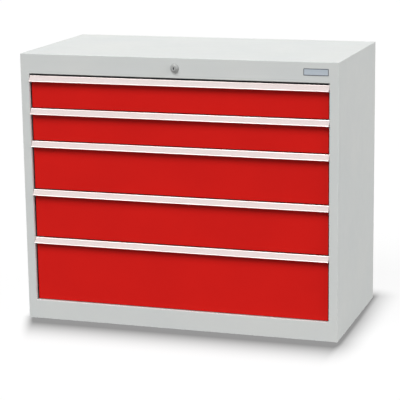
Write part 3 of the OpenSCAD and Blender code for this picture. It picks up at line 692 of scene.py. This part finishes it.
for n in drawers:
    body = f"drawer_{n}"
    low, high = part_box(f"drawer_{n}_tray")
    runnerLow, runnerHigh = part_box(f"drawer_{n}_runners")
    backY = runnerHigh.y  # the drawer runner ends flush with the tray's back
    bm = copyOf(f"drawer_{n}_tray")
    roundEdges(bm, tray["foldRound"], lambda at, way: near(at.z, low.z) or (
        runsAlong(way, 2) and way.length > tray["foldLength"] and abs(at.x) > high.x - limits["edge"]))
    mesh = bpy.data.meshes.new("tray")
    bm.to_mesh(mesh)
    bm.free()
    slotHeight = high.z - low.z - tray["slotFoot"] - tray["slotHead"]
    slotZ = low.z + tray["slotFoot"] + slotHeight / 2
    middleY = (low.y + backY) / 2
    mesh = bakeTree(f"tray{n}", mesh, slotCutter, {
        slotSockets["Side Slot Size"]: (2 * (high.x + tray["punchSpare"]), tray["slotWidth"], slotHeight),
        slotSockets["Side Row Start"]: (0, middleY - (tray["sideSlots"] - 1) / 2 * tray["slotPitch"], slotZ),
        slotSockets["Front Slot Size"]: (
            tray["slotWidth"], backY - low.y + 2 * tray["punchSpare"], slotHeight),
        slotSockets["Front Row Start"]: (-(tray["frontSlots"] - 1) / 2 * tray["slotPitch"], middleY, slotZ),
        slotSockets["Side Slots"]: tray["sideSlots"], slotSockets["Front Slots"]: tray["frontSlots"],
        slotSockets["Slot Pitch"]: tray["slotPitch"], slotSockets["Finish"]: finishes["tray_paint"]})
    smoothFolds(mesh)
    placePiece(f"tray{n}", mesh, body, "tray_paint", f"drawer_{n}_tray")
    rimHem(f"trayRim{n}", low, Vector((high.x, backY, high.z)), body)

    # Screws through the tray into the front, and the rivets that hold the drawer runners
    insideY, insideX = low.y + tray["sheet"], high.x - tray["sheet"]
    screwZs = (low.z + tray["screwRise"], high.z - tray["screwDrop"])
    points = [((x, insideY, z), (0, 1, 0)) for x in tray["screwXs"] for z in screwZs]
    setHeads(f"frontScrews{n}", points, screwHead, body, "zinc_steel")
    rivetYs = (runnerLow.y + tray["rivetEnd"], (runnerLow.y + backY) / 2, backY - tray["rivetEnd"])
    rivetZ = low.z + tray["rivetRise"]
    points = [((side * insideX, y, rivetZ), (-side, 0, 0)) for side in (-1, 1) for y in rivetYs]
    setHeads(f"runnerRivets{n}", points, rivetHead, body, "rivet_aluminium", recessed=False)
print("trays made, slotted and riveted")

for helper in (screwHead, rivetHead):
    bpy.data.objects.remove(helper)

# Fronts and handles
front = {"foldRound": 2.4 * mm, "cornerRound": 1.0 * mm}
handle = {"edgeRound": 0.45 * mm}
for n in drawers:
    node = f"drawer_{n}_front"
    low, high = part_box(node)
    bm = copyOf(node)
    roundEdges(bm, front["cornerRound"], lambda at, way: runsAlong(way, 1)
               and abs(at.x) > high.x - limits["edge"] and (near(at.z, low.z) or near(at.z, high.z)))
    roundEdges(bm, front["foldRound"], lambda at, way: near(at.y, low.y), segments=4)
    dressNode(node, f"drawerFront{n}", bm)

    node = f"drawer_{n}_handle"
    bm = copyOf(node)
    roundEdges(bm, handle["edgeRound"], lambda at, way: runsAlong(way, 0) and way.length > limits["longEdge"])
    dressNode(node, f"handleStrip{n}", bm)
print("fronts and handles dressed")

# Runners, with rounded folds along their length, and ball cages
runner = {"foldRound": 0.5 * mm}


def camelName(node):
    words = node.split("_")
    return words[0] + "".join(word.capitalize() for word in words[1:])


for node in ["left_cabinet_runners", "right_cabinet_runners"] + [
        f"drawer_{n}_{kind}" for n in drawers for kind in ("runners", "middle_runners")]:
    bm = copyOf(node)
    roundEdges(bm, runner["foldRound"],
               lambda at, way: runsAlong(way, 1) and way.length > limits["longEdge"], segments=2)
    dressNode(node, camelName(node), bm)
for node in [f"drawer_{n}_{side}_ball_cages" for n in drawers for side in ("outer", "inner")]:
    dressNode(node, camelName(node), copyOf(node))
print("runners and ball cages dressed")

# Stage: a plain floor that shows white to the camera and lights the cabinet little; it keeps a faint share of
# the lamps' shadow, and a painted shadow is drawn round the cabinet's foot
stage = {"floorHalf": 40.0, "floorSeen": 0.86, "floorBounce": 0.08, "floorGlow": 0.3, "lampShare": 0.09,
         "sky": 0.13}
# Painted shadow round the cabinet's foot, drawn from the distance to the foot: how far it reaches on each
# side and how deep it is
contact = {"front": 255 * mm, "left": 49 * mm, "leftInset": 20 * mm, "leftLean": 0.325, "right": 100 * mm,
           "back": 125 * mm, "most": 0.695, "frontDepth": 1.5, "sideDepth": 0.98, "backShare": 0.7,
           "blend": 20 * mm, "power": 2.0}
# Soft lamps far away: azimuth from the front, height and width in degrees, and whether paint mirrors them
lamps = {"key": {"strength": 3.36, "azimuth": -20, "elevation": 51, "wide": 33, "shine": True},
         "overhead": {"strength": 0.34, "azimuth": -160, "elevation": 84, "wide": 16, "shine": True},
         "side": {"strength": 2.47, "azimuth": 84, "elevation": 12, "wide": 50, "shine": False},
         "behind": {"strength": 1.5, "azimuth": -165, "elevation": 8, "wide": 40, "shine": False}}


# 1 for what the camera sees, also in a mirror or through glass
def seenDirectly(tree):
    path = addNode(tree, "ShaderNodeLightPath")
    total = path.outputs["Is Camera Ray"]
    for label in ("Is Glossy Ray", "Is Transmission Ray"):
        total = maths(tree, "MAXIMUM", total, path.outputs[label])
    return total


# How deep the painted shadow is at each place on the floor, 0 far away
def contactShade(tree):
    place = addNode(tree, "ShaderNodeTexCoord")
    across = addNode(tree, "ShaderNodeSeparateXYZ")
    tree.links.new(place.outputs["Object"], across.inputs["Vector"])
    x, y = across.outputs["X"], across.outputs["Y"]
    footLeft, footRight = cadBox[0][0], cadBox[1][0]
    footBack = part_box("left_side_panel")[1].y
    inFront = spread(tree, y, 0, 1, frontY, frontY - contact["front"])
    behind = spread(tree, y, 0, 1, footBack, footBack + contact["back"])
    # the painted shadow's left end leans back along the camera's line of sight
    leaning = maths(tree, "SUBTRACT", x, times(tree, inFront, contact["leftLean"] * contact["front"]))
    shadeLeft = footLeft + contact["leftInset"]
    onLeft = spread(tree, leaning, 0, 1, shadeLeft, shadeLeft - contact["left"])
    onRight = spread(tree, x, 0, 1, footRight, footRight + contact["right"])
    sideways, lengthways = maths(tree, "MAXIMUM", onLeft, onRight), maths(tree, "MAXIMUM", inFront, behind)
    squares = maths(tree, "ADD", times(tree, sideways, sideways), times(tree, lengthways, lengthways))
    inside = maths(tree, "MAXIMUM", maths(tree, "SUBTRACT", 1.0, maths(tree, "SQRT", squares, 0)), 0.0)
    nearby = maths(tree, "POWER", inside, contact["power"])
    depth = spread(tree, x, contact["frontDepth"], contact["sideDepth"],
                   footRight, footRight + contact["blend"])
    fading = times(tree, depth, spread(tree, y, 1.0, contact["backShare"], 0, footBack))
    return times(tree, maths(tree, "MINIMUM", times(tree, nearby, fading), 1.0), contact["most"])


floorFinish = bpy.data.materials.new("pale floor")
floorFinish.use_nodes = True
tree = floorFinish.node_tree
tree.nodes.clear()
ray = addNode(tree, "ShaderNodeLightPath")
shade = times(tree, contactShade(tree), ray.outputs["Is Camera Ray"])  # painted shadow, for the camera only, none in reflections
# the floor's colour: white less the painted shadow
clear = maths(tree, "SUBTRACT", 1.0, shade)
matt = addNode(tree, "ShaderNodeBsdfDiffuse")
tree.links.new(times(tree, clear, stage["floorSeen"]), matt.inputs["Color"])
paper = addNode(tree, "ShaderNodeEmission")
tree.links.new(clear, paper.inputs["Color"])
seen = addNode(tree, "ShaderNodeMixShader")
seen.inputs["Fac"].default_value = stage["lampShare"]
tree.links.new(paper.outputs["Emission"], seen.inputs[1])
tree.links.new(matt.outputs["BSDF"], seen.inputs[2])
bounce = addNode(tree, "ShaderNodeBsdfDiffuse")
bounce.inputs["Color"].default_value = (stage["floorBounce"],) * 3 + (1.0,)
glow = addNode(tree, "ShaderNodeEmission")
glow.inputs["Strength"].default_value = stage["floorGlow"]
lifted = addNode(tree, "ShaderNodeAddShader")
tree.links.new(bounce.outputs["BSDF"], lifted.inputs[0])
tree.links.new(glow.outputs["Emission"], lifted.inputs[1])
either = addNode(tree, "ShaderNodeMixShader")
tree.links.new(seenDirectly(tree), either.inputs["Fac"])
tree.links.new(lifted.outputs["Shader"], either.inputs[1])
tree.links.new(seen.outputs["Shader"], either.inputs[2])
tree.links.new(either.outputs["Shader"], addNode(tree, "ShaderNodeOutputMaterial").inputs["Surface"])

half = stage["floorHalf"]
floorMesh = bpy.data.meshes.new("floor")
corners = [(-half, -half, 0), (half, -half, 0), (half, half, 0), (-half, half, 0)]
floorMesh.from_pydata(corners, [], [(0, 1, 2, 3)])
floorMesh.materials.append(floorFinish)
floor = bpy.data.objects.new("floor", floorMesh)
scene.collection.objects.link(floor)

world = bpy.data.worlds.new("white studio")
scene.world = world
world.use_nodes = True
tree = world.node_tree
tree.nodes.clear()
sky = addNode(tree, "ShaderNodeBackground")
tree.links.new(spread(tree, seenDirectly(tree), stage["sky"], 1.0, 0, 1), sky.inputs["Strength"])
tree.links.new(sky.outputs["Background"], addNode(tree, "ShaderNodeOutputWorld").inputs["Surface"])

for name, lamp in lamps.items():
    data = bpy.data.lights.new(name, "SUN")
    data.energy = lamp["strength"]
    data.angle = math.radians(lamp["wide"])
    holder = bpy.data.objects.new(name, data)
    a, e = math.radians(lamp["azimuth"]), math.radians(lamp["elevation"])
    toLamp = Vector((math.sin(a) * math.cos(e), -math.cos(a) * math.cos(e), math.sin(e)))
    holder.rotation_mode = "QUATERNION"
    holder.rotation_quaternion = toLamp.to_track_quat("Z", "Y")
    holder.visible_glossy = lamp["shine"]
    scene.collection.objects.link(holder)

# Camera fitted to the photograph's edges
camera = {"azimuth": 18.092, "elevation": 12.527, "roll": -0.777, "lens": 145.08, "sensor": 36.0,
          "place": (1.5151, -4.6614, 1.4361)}
azimuth, elevation, roll = (math.radians(camera[key]) for key in ("azimuth", "elevation", "roll"))
back = Vector((math.sin(azimuth) * math.cos(elevation), -math.cos(azimuth) * math.cos(elevation),
               math.sin(elevation)))
level = Vector((0, 0, 1)).cross(back).normalized()
upward = back.cross(level)
right = math.cos(roll) * level + math.sin(roll) * upward
upright = math.cos(roll) * upward - math.sin(roll) * level
cameraData = bpy.data.cameras.new("camera")
cameraData.lens = camera["lens"]
cameraData.sensor_width = camera["sensor"]
cameraObject = bpy.data.objects.new("camera", cameraData)
turn = Matrix((right, upright, back)).transposed()
cameraObject.matrix_world = Matrix.Translation(camera["place"]) @ turn.to_4x4()
scene.collection.objects.link(cameraObject)
scene.camera = cameraObject
scene.view_settings.view_transform = "Standard"
print("stage and camera set")
